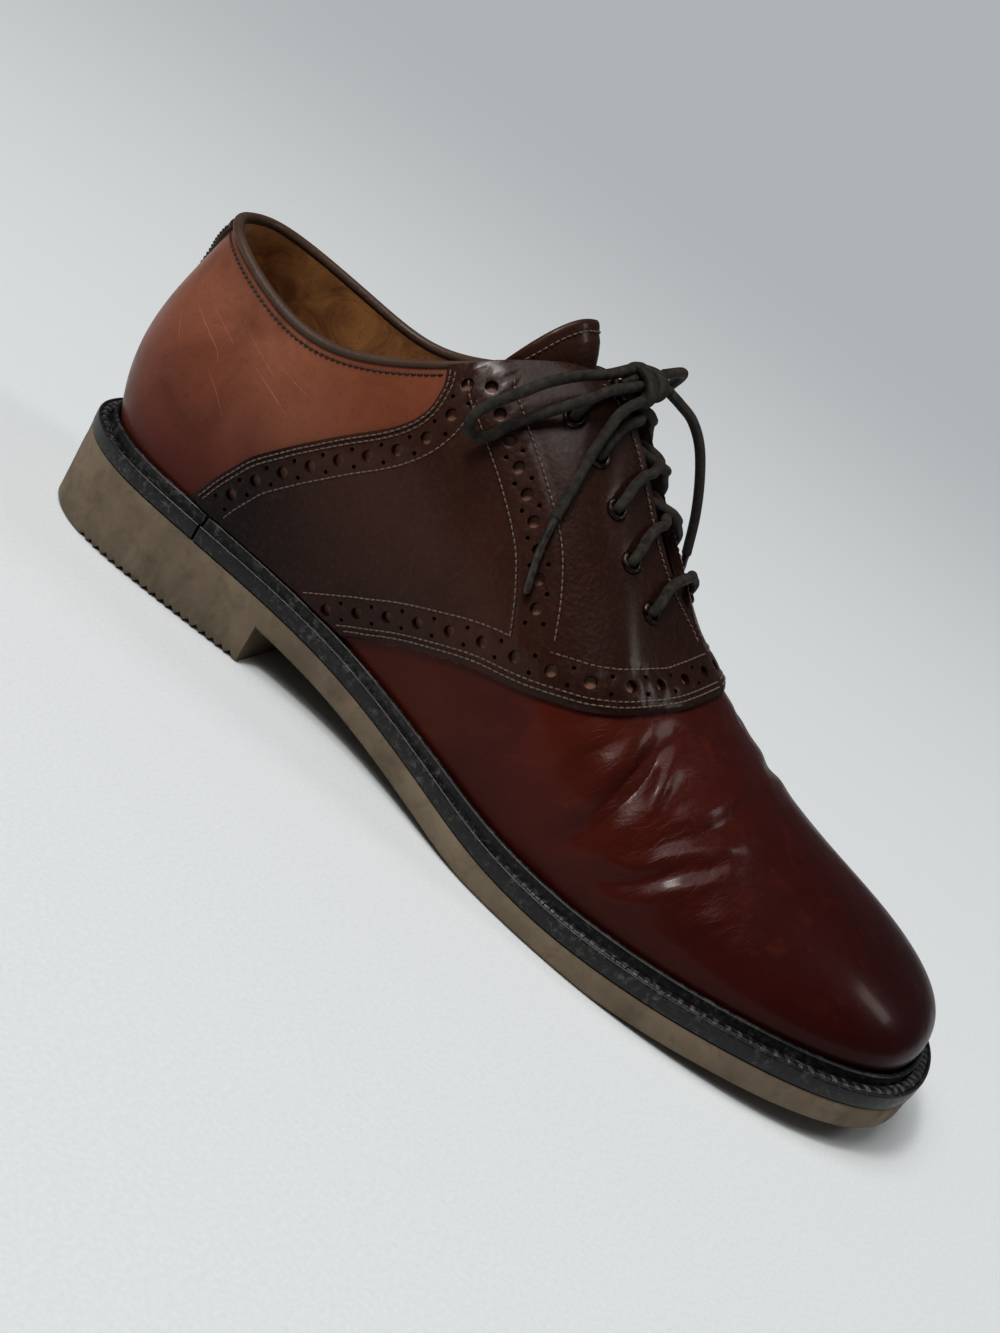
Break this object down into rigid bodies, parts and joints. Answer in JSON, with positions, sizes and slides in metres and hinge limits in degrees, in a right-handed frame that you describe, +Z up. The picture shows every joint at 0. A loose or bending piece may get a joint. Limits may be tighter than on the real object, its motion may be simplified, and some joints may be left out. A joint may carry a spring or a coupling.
{
  "type": "saddle oxford shoe",
  "caption": "Right lace-up saddle oxford with brogue trim: hollow brown leather upper, dark saddle, tongue and tied bow, on a welted rubber sole with a low heel.",
  "frame": {"origin": "on the floor, under the middle of the shoe's box without the bow", "axes": "+X to the toe, +Y to the inner side of the foot, +Z up"},
  "size_m": [0.3076, 0.1076, 0.1331],
  "materials": {
    "sole_rubber": "matt taupe",
    "welt_strip": "satin black, scuffed",
    "insole_leather": "matt tan",
    "upper_leather": "polished red brown",
    "saddle_leather": "satin dark brown",
    "eyelet_metal": "dark antique",
    "lace": "waxed dark cord",
    "aglet": "satin"
  },
  "bodies": {
    "root": {"outsole": "sole_rubber", "welt": "welt_strip", "insole": "insole_leather", "upper": "upper_leather", "saddle": "saddle_leather", "heel_tab": "saddle_leather", "topline_binding": "saddle_leather", "tongue": "saddle_leather", "eyelet_lateral_1": "eyelet_metal", "eyelet_lateral_2": "eyelet_metal", "eyelet_lateral_3": "eyelet_metal", "eyelet_lateral_4": "eyelet_metal", "eyelet_lateral_5": "eyelet_metal", "eyelet_medial_1": "eyelet_metal", "eyelet_medial_2": "eyelet_metal", "eyelet_medial_3": "eyelet_metal", "eyelet_medial_4": "eyelet_metal", "eyelet_medial_5": "eyelet_metal", "lace_row_1": "lace", "lace_row_2": "lace", "lace_row_3": "lace", "lace_row_4": "lace", "lace_row_5": "lace", "lace_knot": "lace", "lace_loop_lateral": "lace", "lace_loop_medial": "lace", "lace_end_lateral": "lace", "lace_end_medial": "lace", "aglet_lateral": "aglet", "aglet_medial": "aglet"}
  },
  "joints": []
}
